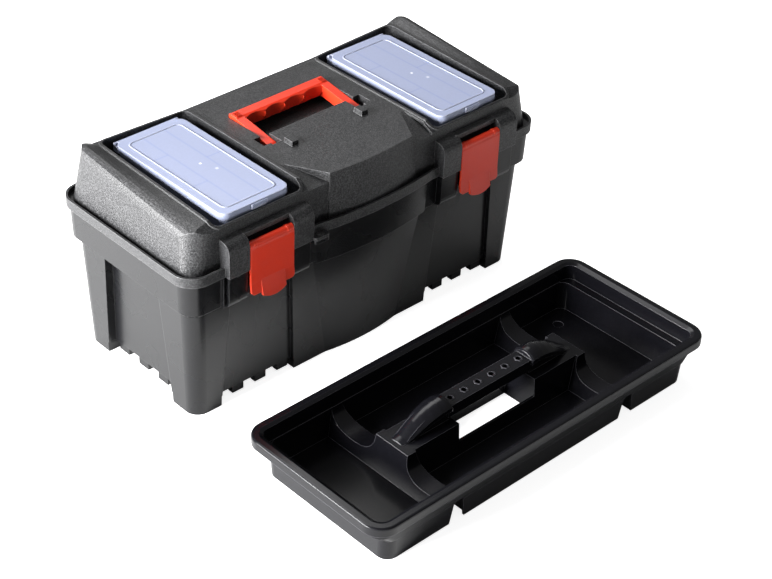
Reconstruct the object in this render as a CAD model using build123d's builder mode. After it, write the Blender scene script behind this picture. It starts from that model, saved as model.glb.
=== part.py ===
from build123d import *
import math
import os

# Toolbox with a lift-out tote tray, all sizes in millimetres.
# Frame: X along the box, -Y the latch side, +Z up, origin under the middle of the base.

# ---- Case: overall sizes ----
rim_width = 248.0          # front to back over the lid's flange
centre_width = 203.5       # field of the lid between its two organiser bays
bay_width = 125.5          # one organiser bay, across
end_margin = 47.75         # from a bay to the end of the flange
base_height = 194.0        # floor to the parting line
skirt_height = 45.5        # wider band round the top of the base
crown_height = 65.5        # parting line to the lid's centre field
crown_top = base_height + crown_height
rim_corner = 27.0
wall = 2.6
rim_length = centre_width + 2 * (bay_width + end_margin)
rim_x, rim_y = rim_length / 2, rim_width / 2

# ---- Base tub ----
skirt_set = 5.7            # flange edge to skirt at its lower edge
skirt_draft = 1.2
skirt_chamfer = 4.0
tub_top_set = 12.5         # flange edge to tub wall under the skirt
tub_foot_set = 19.2        # flange edge to tub wall at the floor
post_radius_top, post_radius_foot = 20.0, 17.0
end_recess, front_recess = 11.0, 5.5
post_x_top, post_x_foot = 55.5, 38.8      # corner post, along the front
post_y_top, post_y_foot = 60.5, 41.8      # corner post, along the end
panel_half_top, panel_half_foot = 116.0, 107.0
relief_height = 14.0       # lower edge of the recessed panels
foot_drop = 4.0
rib_depth = 8.0
front_rib_width, front_rib_pitch, front_rib_first = 16.5, 33.75, 29.0
end_rib_width, end_rib_pitch, end_rib_first = 18.5, 38.0, 33.0
bow_half_foot, bow_rise_foot = 57.0, 5.5
bow_half_top, bow_rise_top = 85.0, 8.5
skirt_bow_half = 88.0

# ---- Lid flange and crown ----
flange_thick = 4.6
lip_height = 12.4          # flange underside to the top of its outer lip
lip_thick = 2.8
flange_bow_half, flange_bow_rise = 90.0, 8.0
tongue_depth, tongue_thick, tongue_gap = 3.0, 2.4, 0.6
crown_set = 8.5            # flange edge to crown wall at its foot
crown_draft_x, crown_draft_y = 11.5, 2.0
crown_radius, crown_head_radius = 20.0, 34.0
crown_edge, crown_back_edge = 11.0, 15.0          # rounding of the upper edges
# Outer strips' height at front and back, then the height beside the bays
shoulder_front, shoulder_back = crown_top - 6.5, crown_top + 16.5
ridge_front, ridge_back = crown_top - 3.0, crown_top + 5.5
ridge_x_gap = 5.0
slope_start_y, slope_drop, slope_run = 24.0, 9.0, 14.0
groove_back_y, groove_drop = 58.0, 11.0

# ---- Boss on the lid's centre field ----
boss_back_half, boss_front_half = 94.0, 63.5
boss_foot_half = 68.0
boss_front_set, boss_foot_set = 10.0, 4.5         # from the flange edge
boss_rise_top, boss_rise_foot = 4.5, 8.5

# ---- Organiser bays and organisers ----
bay_front_set, bay_back_set = 12.5, 23.5          # from the flange edge
bay_floor = crown_top - 37.5
bay_radius = 9.0
cup_wall = 2.4
bead_width, bead_height = 3.6, 1.6
finger_gap = 13.75         # bay side to organiser lid
front_gap, back_gap = 3.5, 8.5
org_wall, org_floor, org_draft = 1.4, 1.6, 2.4
org_radius = 11.0
org_top = crown_top - 0.6                         # open edge of the organiser's box
org_lid_top = crown_top + 1.4
org_lid_plate = 1.5
org_lid_skirt = 8.0
org_lid_gap = 0.4
org_hinge_z = crown_top - 1.9
org_rod_radius, org_rod_gap = 1.5, 0.05
org_knuckle_radius = 2.2
org_ear_half, org_ear_width = 44.0, 4.0
divider_wall, divider_top = 1.2, crown_top - 7.5
bead_inset, bead_line, bead_rise = 10.8, 1.5, 0.5
clip_width, clip_thick, clip_drop, clip_gap = 22.0, 1.6, 6.6, 0.3

# ---- Carry handle ----
handle_half = 71.5
arm_width = 11.5
grip_back_y, grip_front_y = 56.0, 38.0
pivot_y, pivot_z = -12.0, crown_top - 12.0
arm_end_radius = 7.0
grip_low, grip_top = crown_top - 9.5, crown_top + 5.0
handle_gap = 0.8
finger_count, finger_depth = 4, 3.0
trunnion_radius, trunnion_length, running_gap = 4.0, 5.0, 0.05
well_floor = crown_top - 22.0
well_front_y, well_finger_y = -25.0, -3.0
well_back_gap = 1.5
slot_reach, slot_back_y = 10.0, -2.0
stop_x, stop_y, stop_width, stop_length, stop_height = 54.0, -36.0, 10.0, 15.0, 6.0

# ---- Latches ----
latch_shift = 1.9          # latch centre, inboard of the bay centre
latch_width = 62.5
latch_side_gap = 0.8
lug_width = 29.0
lid_lug_proud, base_lug_proud = 7.5, 3.8          # beyond the flange edge
lid_lug_top, base_lug_low = crown_top - 20.5, base_height - 43.0
lug_radius = 4.0
part_gap = 0.4
latch_pivot_set, latch_pivot_z = 3.0, crown_top - 36.0
latch_roll = 4.4
latch_pin_radius, latch_pin_length = 2.5, 4.5
latch_thick = 2.6
latch_low, latch_tab_low = base_height - 34.0, base_height - 42.5
latch_tab_width, latch_flare, latch_corner = 34.0, 5.0, 4.5
collar_set, collar_width = 7.5, 3.6
hook_low, hook_height, hook_gap = base_height - 31.0, 4.0, 0.5
catch_proud, catch_height = 5.2, 4.0
bar_low, bar_height, bar_depth = crown_top - 27.0, 5.5, 6.5

# ---- Padlock eye ----
eye_inboard, eye_reach, eye_width, eye_hole = 10.0, 12.0, 22.0, 3.6
eye_thick, eye_corner = 4.0, 4.5

# ---- Rear hinges ----
hinge_offset = 150.0
hinge_out, hinge_up = 6.2, 5.0
knuckle_radius = 5.2
lid_knuckle, base_knuckle, knuckle_gap = 26.0, 12.0, 0.5
pin_radius, pin_grip, pin_clear = 2.0, 0.02, 0.05

# ---- Tote tray ----
tray_x, tray_y, tray_turn = -10.5, -321.5, 0.48
tray_end_clear, tray_side_clear = 1.2, 6.2        # tray rim to the inside of the skirt
tray_height = 62.0
tray_wall = 2.5
tray_rim_corner = 25.0
tray_band, tray_rim_flat = 11.5, 9.0
tray_end_set, tray_side_set = 22.0, 10.5
tray_draft = 2.5
tray_radius = 14.0
ledge_height, ledge_out = 40.0, 10.5
spine_top_half, spine_foot_half, spine_top = 22.0, 25.5, 46.0
divider_x = 137.0
divider_top_half, divider_end_half, divider_trough_half = 6.0, 14.0, 18.0
scoop_wall_z, scoop_low_z = 46.0, 19.0
slot_half, slot_top_half, slot_height = 11.3, 6.2, 30.0
opening_half, opening_wall_z = 61.0, 22.0
bar_half, bar_low_z, bar_top_z = 11.5, 51.0, 66.0
hood_inner, hood_outer, hood_top_z, hood_half = 64.0, 136.0, 74.0, 15.0
hood_roll, hood_web_set = 12.0, 2.5
socket_count, socket_pitch, socket_radius, socket_depth = 6, 22.0, 3.7, 11.0
socket_rim, socket_rim_height = 1.4, 0.6
gate_x, gate_y, gate_radius = 208.0, 70.0, 6.5


# ---- Shared shapes ----
def tapered_block(low_z, low_half, high_z, high_half, low_radius, high_radius, at=(0, 0),
                  plane=Plane.XY, mode=Mode.ADD):
    """Straight-walled block with rounded corners, from one half size to another."""
    sections = []
    for z, half, radius in ((low_z, low_half, low_radius), (high_z, high_half, high_radius)):
        with BuildSketch(plane.offset(z)) as section:
            with Locations(at):
                RectangleRounded(2 * half[0], 2 * half[1], radius)
        sections.append(section.sketch)
    loft(sections=sections, mode=mode)


def slab(low_z, low, high_z, high, plane=Plane.XY, mode=Mode.ADD):
    """Four-sided block between two rectangles, each given as (x0, x1, y0, y1)."""
    sections = []
    for z, (x0, x1, y0, y1) in ((low_z, low), (high_z, high)):
        with BuildSketch(plane.offset(z)) as section:
            with Locations(((x0 + x1) / 2, (y0 + y1) / 2)):
                Rectangle(x1 - x0, y1 - y0)
        sections.append(section.sketch)
    loft(sections=sections, mode=mode)


def bow(low_z, low, high_z, high, mode=Mode.ADD):
    """Bowed front panel: each end is (half chord, front y, rise), backed into the wall."""
    backing = 1.5
    sections = []
    for z, (half, y, rise) in ((low_z, low), (high_z, high)):
        with BuildSketch(Plane.XY.offset(z)) as section:
            with BuildLine():
                ThreePointArc((-half, y), (0, y - rise), (half, y))
                Polyline((half, y), (half, y + backing), (-half, y + backing), (-half, y))
            make_face()
        sections.append(section.sketch)
    loft(sections=sections, mode=mode)


def cylinder_x(radius, x0, x1, y, z, mode=Mode.ADD):
    """Cylinder along X between x0 and x1."""
    with BuildSketch(Plane.YZ.offset(x0)) as outline:
        with Locations((y, z)):
            Circle(radius)
    extrude(to_extrude=outline.sketch, amount=x1 - x0, mode=mode)


def prism_x(points, x0, x1, mode=Mode.ADD):
    """Flat-sided prism along X, its outline given as (y, z) points."""
    with BuildSketch(Plane.YZ.offset(x0)) as outline:
        with BuildLine():
            Polyline(*points, close=True)
        make_face()
    extrude(to_extrude=outline.sketch, amount=x1 - x0, mode=mode)


def rounded_corner(along, corner, down, steps=5):
    """Points of a smooth curve from along, towards corner, to down."""
    points = []
    for i in range(steps + 1):
        t = i / steps
        points.append(tuple((1 - t) ** 2 * a + 2 * t * (1 - t) * c + t ** 2 * d
                            for a, c, d in zip(along, corner, down)))
    return points


def eye_tab(x, back_y, low_z):
    """Tab of the padlock eye, standing out of the front with its two free corners rounded."""
    front_y = -rim_y - eye_reach
    with BuildSketch(Plane.XY.offset(low_z)) as tab:
        with Locations((x, (front_y + back_y) / 2)):
            Rectangle(eye_width, back_y - front_y)
        fillet(tab.vertices().group_by(Axis.Y)[0], eye_corner)
    extrude(to_extrude=tab.sketch, amount=eye_thick)


def box_between(x, y, z, mode=Mode.ADD):
    """Box between the low and high values of x, y and z."""
    slab(z[0], (x[0], x[1], y[0], y[1]), z[1], (x[0], x[1], y[0], y[1]), mode=mode)


# ---- Places worked out from the sizes above ----
skirt_z = base_height - skirt_height
ledge_z = skirt_z + wall
bay_centre = centre_width / 2 + bay_width / 2
bay_front, bay_back = -rim_y + bay_front_set, rim_y - bay_back_set
flange_top = base_height + flange_thick
org_half_x = bay_width / 2 - finger_gap
org_front, org_back = bay_front + front_gap, bay_back - back_gap
org_half_y = (org_back - org_front) / 2
org_y = (org_back + org_front) / 2
latch_centre = bay_centre - latch_shift
latch_half = latch_width / 2
latch_y = -rim_y - latch_pivot_set
hinge_y, hinge_z = rim_y + hinge_out, base_height + hinge_up
skirt_low = (rim_x - skirt_set, rim_y - skirt_set)
skirt_high = (skirt_low[0] + skirt_draft, skirt_low[1] + skirt_draft)
skirt_radius = rim_corner - skirt_set


# ---- Base ----
def tub_form(inset, top):
    """The tub below the skirt, shrunk by inset on every wall: 0 is its outside."""
    foot = (rim_x - tub_foot_set - inset, rim_y - tub_foot_set - inset)
    head = (rim_x - tub_top_set - inset, rim_y - tub_top_set - inset)
    far = rim_x + rim_y
    with BuildPart() as form:
        tapered_block(inset, foot, top, head, post_radius_foot - inset, post_radius_top - inset)
        for side in (-1, 1):
            low_x, high_x = foot[0] - end_recess, head[0] - end_recess
            low_half = rim_y - tub_foot_set - post_y_foot + inset
            high_half = rim_y - tub_top_set - post_y_top + inset
            slab(0, (*sorted((side * low_x, side * far)), -low_half, low_half),
                 top, (*sorted((side * high_x, side * far)), -high_half, high_half), mode=Mode.SUBTRACT)
            low_post = rim_x - tub_foot_set - post_x_foot + inset
            high_post = rim_x - tub_top_set - post_x_top + inset
            for face in (-1, 1):
                low_y, high_y = foot[1] - front_recess, head[1] - front_recess
                slab(0, (*sorted((side * (panel_half_foot - inset), side * low_post)),
                         *sorted((face * low_y, face * far))),
                     top, (*sorted((side * (panel_half_top - inset), side * high_post)),
                           *sorted((face * high_y, face * far))), mode=Mode.SUBTRACT)
            box_between(sorted((side * (panel_half_foot - inset), side * low_post)), (-far, far),
                        (-1, relief_height + inset), mode=Mode.SUBTRACT)
            box_between(sorted((side * (low_post - wall), side * far)), (-low_half, low_half),
                        (-1, relief_height + inset), mode=Mode.SUBTRACT)
        bow(inset, (bow_half_foot - inset, -foot[1], bow_rise_foot),
            top, (bow_half_top - inset, -head[1], bow_rise_top))
    return form.part


tub_outside = tub_form(0, skirt_z)
tub_hollow = tub_form(wall, ledge_z)

with BuildPart() as base_shell:
    add(tub_outside)
    chamfered = (skirt_low[0] - skirt_chamfer, skirt_low[1] - skirt_chamfer)
    tapered_block(skirt_z, chamfered, skirt_z + skirt_chamfer, skirt_low,
                  skirt_radius - skirt_chamfer, skirt_radius)
    tapered_block(skirt_z + skirt_chamfer, skirt_low, base_height, skirt_high,
                  skirt_radius, skirt_radius)
    bow(skirt_z, (skirt_bow_half - skirt_chamfer / 2, -skirt_low[1], bow_rise_top),
        base_height, (skirt_bow_half, -skirt_high[1], bow_rise_top))
    # Latch lugs and the rib that each latch pulls down on
    for side in (-1, 1):
        x = side * latch_centre
        for hand in (-1, 1):
            near, far = latch_half + latch_side_gap, latch_half + latch_side_gap + lug_width
            front_y, back_lug_y = -rim_y - base_lug_proud, -skirt_low[1] + 1
            chin = rounded_corner((back_lug_y, base_lug_low), (front_y, base_lug_low),
                                  (front_y, base_lug_low + 12))
            prism_x((*chin, (front_y, base_height - part_gap), (back_lug_y, base_height - part_gap)),
                    *sorted((x + hand * near, x + hand * (far - 2))))
        # Slim guard rib outside the outer lug
        rib_x = x + side * (far + 1.5)
        box_between((rib_x - 1, rib_x + 1), (-rim_y + 0.6, -skirt_low[1] + 1),
                    (base_lug_low + 2, base_height - part_gap))
        box_between((x - latch_half + 4, x + latch_half - 4),
                    (-skirt_low[1] - catch_proud, -skirt_low[1] + 1), (hook_low + hook_height + hook_gap,
                    hook_low + hook_height + hook_gap + catch_height))
    # Lower half of the padlock eye
    eye_x = -(latch_centre - latch_half - latch_side_gap - lug_width - eye_inboard)
    eye_tab(eye_x, -skirt_low[1] + 1, base_height - part_gap - eye_thick)
    # Hinge arms reach out from under the flange to the pin
    arm_gap = 0.6
    for side in (-1, 1):
        for hand in (-1, 1):
            start = side * hinge_offset + hand * (lid_knuckle / 2 + knuckle_gap)
            ends = sorted((start, start + hand * base_knuckle))
            prism_x(((skirt_low[1] - 1, skirt_z + 22), (hinge_y + knuckle_radius, base_height - 6),
                     (hinge_y + knuckle_radius, hinge_z), (rim_y + arm_gap, hinge_z),
                     (rim_y + arm_gap, base_height - part_gap), (skirt_low[1] - 1, base_height - part_gap)),
                    *ends)
            cylinder_x(knuckle_radius, *ends, hinge_y, hinge_z)
    # Hollow inside
    add(tub_hollow, mode=Mode.SUBTRACT)
    tapered_block(ledge_z, (skirt_low[0] - wall, skirt_low[1] - wall),
                  base_height, (skirt_high[0] - wall, skirt_high[1] - wall),
                  skirt_radius - wall, skirt_radius - wall, mode=Mode.SUBTRACT)
    bow(ledge_z, (skirt_bow_half - wall, -skirt_low[1] + wall, bow_rise_top),
        base_height, (skirt_bow_half - wall, -skirt_high[1] + wall, bow_rise_top), mode=Mode.SUBTRACT)
    for side in (-1, 1):
        reach = lid_knuckle / 2 + knuckle_gap + base_knuckle
        cylinder_x(pin_radius - pin_grip, side * hinge_offset - reach - 1, side * hinge_offset + reach + 1,
                   hinge_y, hinge_z, mode=Mode.SUBTRACT)
    with BuildSketch(Plane.XY.offset(base_height)):
        with Locations((eye_x, -rim_y - eye_reach / 2)):
            Circle(eye_hole)
    extrude(amount=-eye_thick - 1, mode=Mode.SUBTRACT)
    # Ribs under the recessed panels
    front_panel_y = rim_y - tub_foot_set - front_recess
    end_panel_x = rim_x - tub_foot_set - end_recess
    post_edge_x = rim_x - tub_foot_set - post_x_foot
    for face in (-1, 1):
        for start in (-post_edge_x, panel_half_foot):
            for i in range(3):
                x = start + front_rib_first + i * front_rib_pitch
                box_between((x - front_rib_width / 2, x + front_rib_width / 2),
                            sorted((face * (front_panel_y - rib_depth), face * front_panel_y)),
                            (foot_drop, relief_height + wall / 2))
    for face in (-1, 1):
        for i in range(3):
            y = -(rim_y - tub_foot_set - post_y_foot) + end_rib_first + i * end_rib_pitch
            box_between(sorted((face * (end_panel_x - rib_depth), face * end_panel_x)),
                        (y - end_rib_width / 2, y + end_rib_width / 2),
                        (foot_drop, relief_height + wall / 2))
base_shell.part.label = "base_shell"


# ---- Lid ----
def crown_form(inset, foot_z):
    """The lid's crown without its boss, shrunk by inset: walls, tilted end strips, rounded edges."""
    half = (rim_x - crown_set - inset, rim_y - crown_set - inset)
    peak = shoulder_back + 8
    head = (half[0] - crown_draft_x, half[1] - crown_draft_y)
    ridge_x = bay_centre + bay_width / 2 + ridge_x_gap
    field_x = centre_width / 2
    reach = rim_x + 5
    edge, back_edge = crown_edge - inset, crown_back_edge - inset
    stations = [(-half[1] + 0.2, edge * 0.75), (-half[1] + edge * 0.12, edge * 0.36),
                (-half[1] + edge * 0.4, edge * 0.1), (-half[1] + edge, 0),
                (half[1] - back_edge * 1.2, 0), (half[1] - back_edge * 0.6, back_edge * 0.13),
                (half[1] - back_edge * 0.25, back_edge * 0.45), (half[1] - crown_draft_y * 0.9, back_edge)]
    sections = []
    for y, drop in stations:
        share = (y + rim_y) / (2 * rim_y)
        shoulder = shoulder_front + share * (shoulder_back - shoulder_front)
        ridge = ridge_front + share * (ridge_back - ridge_front)
        lean = crown_draft_x * (shoulder - foot_z) / (peak - foot_z)
        corner_x = half[0] - lean
        fall = (shoulder - ridge) / (corner_x - ridge_x)
        low = inset + drop
        curve = rounded_corner((corner_x - edge * 1.3, shoulder - fall * edge * 1.3 - low),
                               (corner_x, shoulder - low),
                               (corner_x + edge * 0.18, shoulder - edge * 1.3 - low))
        curve.append((reach, shoulder - edge * 1.4 - low))
        right = [(field_x, crown_top - low), (ridge_x, ridge - low)] + curve + [(reach, foot_z)]
        with BuildSketch(Plane.XZ.offset(-y)) as section:
            with BuildLine():
                Polyline(*right, *((-x, z) for x, z in reversed(right)), close=True)
            make_face()
        sections.append(section.sketch)
    with BuildPart() as form:
        loft(sections=sections, ruled=True)
        tapered_block(foot_z, half, peak, head, crown_radius - inset, crown_head_radius - inset,
                      mode=Mode.INTERSECT)
    return form.part


def front_slopes(inset):
    """Wedges that the crown's front corners are sloped off with, outside the boss."""
    top = crown_top - inset
    edge_y = -rim_y + slope_start_y
    low_y = edge_y - slope_run
    with BuildPart() as wedges:
        for side in (-1, 1):
            inner, outer = side * (centre_width / 2 - 6), side * (rim_x + 5)
            prism_x(((edge_y, top + 0.5), (edge_y, shoulder_back + 20), (-rim_y - 40, shoulder_back + 20),
                     (-rim_y - 40, top - slope_drop - 20), (low_y, top - slope_drop),
                     (edge_y, top - 1.5)), *sorted((inner, outer)))
            prism_x(((-rim_y + groove_back_y, top), (-rim_y + groove_back_y, top + 30),
                     (-rim_y - 40, top + 30), (-rim_y - 40, top - groove_drop - 12),
                     (-rim_y + boss_front_set, top - groove_drop)),
                    *sorted((side * 40, inner)))
    return wedges.part


def boss_form(inset, foot_z):
    """The raised boss between the bays, its front bowed like the base."""
    with BuildPart() as form:
        for z, front_half, front_y, rise in (
                (foot_z, boss_foot_half - inset, -rim_y + boss_foot_set + inset, boss_rise_foot),
                (crown_top - inset, boss_front_half - inset, -rim_y + boss_front_set + inset,
                 boss_rise_top)):
            back_y = -rim_y + groove_back_y + 6
            back_half = boss_back_half - inset
            with BuildSketch(Plane.XY.offset(z)):
                with BuildLine():
                    ThreePointArc((-front_half, front_y), (0, front_y - rise), (front_half, front_y))
                    Polyline((front_half, front_y), (back_half, back_y), (-back_half, back_y),
                             (-front_half, front_y))
                make_face()
        loft(ruled=True)
    return form.part


crown_outside = crown_form(0, flange_top - 0.1)
crown_hollow = crown_form(wall, base_height - 5)
slopes_outside, slopes_hollow = front_slopes(0), front_slopes(wall)
boss_outside, boss_hollow = boss_form(0, flange_top - 0.1), boss_form(wall, base_height - 5)

with BuildPart() as crown_skin:
    add(crown_outside)
    add(slopes_outside, mode=Mode.SUBTRACT)
    add(boss_outside)

with BuildPart() as crown_space:
    add(crown_hollow)
    add(slopes_hollow, mode=Mode.SUBTRACT)
    add(boss_hollow)

with BuildPart() as cups:
    for side in (-1, 1):
        x = side * bay_centre
        box_between((x - bay_width / 2 - cup_wall, x + bay_width / 2 + cup_wall),
                    (bay_front - cup_wall, bay_back + cup_wall), (bay_floor - cup_wall, shoulder_back + 20))
    reach = handle_half + slot_reach + cup_wall
    box_between((-reach, reach), (well_front_y - cup_wall, grip_back_y + well_back_gap + cup_wall),
                (well_floor - cup_wall, shoulder_back + 20))
    add(crown_skin.part, mode=Mode.INTERSECT)

raised_skin = Pos(0, 0, bead_height) * crown_skin.part

with BuildPart() as bay_beads:
    for side in (-1, 1):
        for grow, mode in ((bead_width, Mode.ADD), (0, Mode.SUBTRACT)):
            with BuildSketch(Plane.XY.offset(bay_floor + 18)):
                with Locations((side * bay_centre, (bay_front + bay_back) / 2)):
                    RectangleRounded(bay_width + 2 * grow, bay_back - bay_front + 2 * grow,
                                     bay_radius + grow)
            extrude(amount=70, mode=mode)
    add(raised_skin, mode=Mode.INTERSECT)

with BuildPart() as lid_shell:
    # Flange: a flat plate with a lip standing up round its edge
    tapered_block(base_height, (rim_x, rim_y), base_height + lip_height, (rim_x, rim_y),
                  rim_corner, rim_corner)
    bow(base_height, (flange_bow_half, -rim_y, flange_bow_rise),
        base_height + lip_height, (flange_bow_half, -rim_y, flange_bow_rise))
    inner = (rim_x - lip_thick, rim_y - lip_thick)
    tapered_block(flange_top, inner, base_height + lip_height, inner, rim_corner - lip_thick,
                  rim_corner - lip_thick, mode=Mode.SUBTRACT)
    bow(flange_top, (flange_bow_half - lip_thick, -inner[1], flange_bow_rise),
        base_height + lip_height, (flange_bow_half - lip_thick, -inner[1], flange_bow_rise),
        mode=Mode.SUBTRACT)
    add(crown_skin.part)
    # Locating tongue inside the base's mouth
    outer = (skirt_high[0] - wall - tongue_gap, skirt_high[1] - wall - tongue_gap)
    tapered_block(base_height - tongue_depth, outer, base_height, outer,
                  skirt_radius - wall - tongue_gap, skirt_radius - wall - tongue_gap)
    tongue_in = (outer[0] - tongue_thick, outer[1] - tongue_thick)
    tapered_block(base_height - tongue_depth, tongue_in, base_height, tongue_in,
                  crown_radius - wall, crown_radius - wall, mode=Mode.SUBTRACT)
    # Hollow, then the bays' and handle's cups back inside it
    add(crown_space.part, mode=Mode.SUBTRACT)
    add(cups.part)
    add(bay_beads.part)
    for side in (-1, 1):
        with BuildSketch(Plane.XY.offset(bay_floor)):
            with Locations((side * bay_centre, (bay_front + bay_back) / 2)):
                RectangleRounded(bay_width, bay_back - bay_front, bay_radius)
        extrude(amount=80, mode=Mode.SUBTRACT)
    # Handle pocket: two arm channels, a finger well and the assembly slots outside the arm ends
    arm_in, arm_out = handle_half - arm_width - handle_gap, handle_half + handle_gap
    back_y = grip_back_y + well_back_gap
    for side in (-1, 1):
        box_between(sorted((side * arm_in, side * arm_out)), (well_front_y, back_y),
                    (well_floor, crown_top + 30), mode=Mode.SUBTRACT)
        box_between(sorted((side * (arm_out - 1), side * (arm_out + slot_reach))),
                    (well_front_y + 4, slot_back_y), (well_floor, crown_top + 30), mode=Mode.SUBTRACT)
    box_between((-arm_in - 1, arm_in + 1), (well_finger_y, back_y), (well_floor, crown_top + 30),
                mode=Mode.SUBTRACT)
    # The mass between the channels and behind the slots is cored out from below
    core = (well_floor - cup_wall - 1, crown_top - wall)
    bearing_x = arm_in - trunnion_length - 1 - 2 * cup_wall
    box_between((-bearing_x, bearing_x), (well_front_y, well_finger_y - cup_wall), core, mode=Mode.SUBTRACT)
    for side in (-1, 1):
        box_between(sorted((side * (arm_out + cup_wall), side * (arm_out + slot_reach + cup_wall + 1))),
                    (slot_back_y + cup_wall, back_y + cup_wall + 1), core, mode=Mode.SUBTRACT)
    for side in (-1, 1):
        cylinder_x(trunnion_radius + running_gap, *sorted((side * (arm_in - trunnion_length - 1.0),
                   side * (arm_in + 1))), pivot_y, pivot_z, mode=Mode.SUBTRACT)
        # Small upstands beside the arm ends
        with BuildSketch(Plane.XY.offset(crown_top - 1)):
            with Locations((side * stop_x, stop_y)):
                Rectangle(stop_width, stop_length)
        extrude(amount=stop_height + 1, taper=4)
    # Latch lugs, joined by a bar over the latch's roll
    for side in (-1, 1):
        x = side * latch_centre
        near, far = latch_half + latch_side_gap, latch_half + latch_side_gap + lug_width
        front_y, back_lug_y = -rim_y - lid_lug_proud, -rim_y + crown_set + 2.0
        for hand in (-1, 1):
            brow = rounded_corner((front_y, lid_lug_top - 14), (front_y + 0.6, lid_lug_top - 4.5),
                                  (front_y + 8, lid_lug_top - 2))
            prism_x(((back_lug_y, base_height + part_gap), (front_y, base_height + part_gap), *brow,
                     (back_lug_y, lid_lug_top)), *sorted((x + hand * near, x + hand * far)))
        box_between((x - near - 1, x + near + 1), (-rim_y + crown_set - bar_depth, -rim_y + crown_set + 2),
                    (bar_low, bar_low + bar_height))
        reach = latch_half + latch_pin_length + latch_side_gap
        cylinder_x(latch_pin_radius + running_gap, x - reach, x + reach, latch_y, latch_pivot_z,
                   mode=Mode.SUBTRACT)
    # Upper half of the padlock eye
    eye_tab(eye_x, -rim_y + 1, base_height)
    with BuildSketch(Plane.XY.offset(base_height - 1)):
        with Locations((eye_x, -rim_y - eye_reach / 2)):
            Circle(eye_hole)
    extrude(amount=eye_thick + 2, mode=Mode.SUBTRACT)
    # Hinge knuckles
    for side in (-1, 1):
        ends = (side * hinge_offset - lid_knuckle / 2, side * hinge_offset + lid_knuckle / 2)
        box_between(ends, (rim_y - 1, hinge_y), (hinge_z - 3.5, hinge_z + knuckle_radius))
        cylinder_x(knuckle_radius, *ends, hinge_y, hinge_z)
        cylinder_x(pin_radius + pin_clear, ends[0] - 1, ends[1] + 1, hinge_y, hinge_z, mode=Mode.SUBTRACT)
lid_shell.part.label = "lid_shell"


# ---- Hinge pins ----
def hinge_pin(side):
    """Steel rod with rounded ends, gripped by the base's knuckles."""
    reach = lid_knuckle / 2 + knuckle_gap + base_knuckle
    with BuildPart() as pin:
        cylinder_x(pin_radius, side * hinge_offset - reach, side * hinge_offset + reach, hinge_y, hinge_z)
        chamfer(pin.edges().filter_by(GeomType.CIRCLE), 0.4)
    return pin.part


pin_left, pin_right = hinge_pin(-1), hinge_pin(1)

with BuildPart() as hinge_pin_left:
    add(pin_left)
hinge_pin_left.part.label = "hinge_pin_left"

with BuildPart() as hinge_pin_right:
    add(pin_right)
hinge_pin_right.part.label = "hinge_pin_right"

# ---- Carry handle: one U-shaped moulding, folded back ----
with BuildPart() as carry_handle:
    arm_in = handle_half - arm_width
    low_front, low_back = grip_low - 2, grip_low + 2
    for side in (-1, 1):
        prism_x(((pivot_y, pivot_z - arm_end_radius), (grip_back_y - 4, low_front), (grip_back_y, low_back),
                 (grip_back_y, grip_top - 1), (grip_back_y - 1, grip_top),
                 (pivot_y, pivot_z + arm_end_radius)), *sorted((side * arm_in, side * handle_half)))
        cylinder_x(arm_end_radius, *sorted((side * arm_in, side * handle_half)), pivot_y, pivot_z)
        cylinder_x(trunnion_radius, *sorted((side * (arm_in - trunnion_length), side * arm_in)),
                   pivot_y, pivot_z)
    prism_x(((grip_front_y + 3, low_front), (grip_back_y - 4, low_front), (grip_back_y, low_back),
             (grip_back_y, grip_top - 1), (grip_back_y - 1, grip_top), (grip_front_y + 6, grip_top - 0.8),
             (grip_front_y + 2, grip_top - 3), (grip_front_y, grip_top - 7)),
            -handle_half + 1, handle_half - 1)
    # Hollows for four fingers in the front of the grip
    pitch = 2 * arm_in / finger_count
    finger_radius = (pitch ** 2 / 4 + finger_depth ** 2) / (2 * finger_depth)
    for i in range(finger_count):
        x = (i - (finger_count - 1) / 2) * pitch
        with BuildSketch(Plane.XY.offset(grip_low - 5)):
            with Locations((x, grip_front_y + finger_depth + 1 - finger_radius)):
                Circle(finger_radius)
            with Locations((x, grip_front_y - 10 + finger_depth)):
                Rectangle(pitch - 0.4, 24, mode=Mode.INTERSECT)
        extrude(amount=grip_top - grip_low + 3.5, mode=Mode.SUBTRACT)
carry_handle.part.label = "carry_handle"


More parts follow.
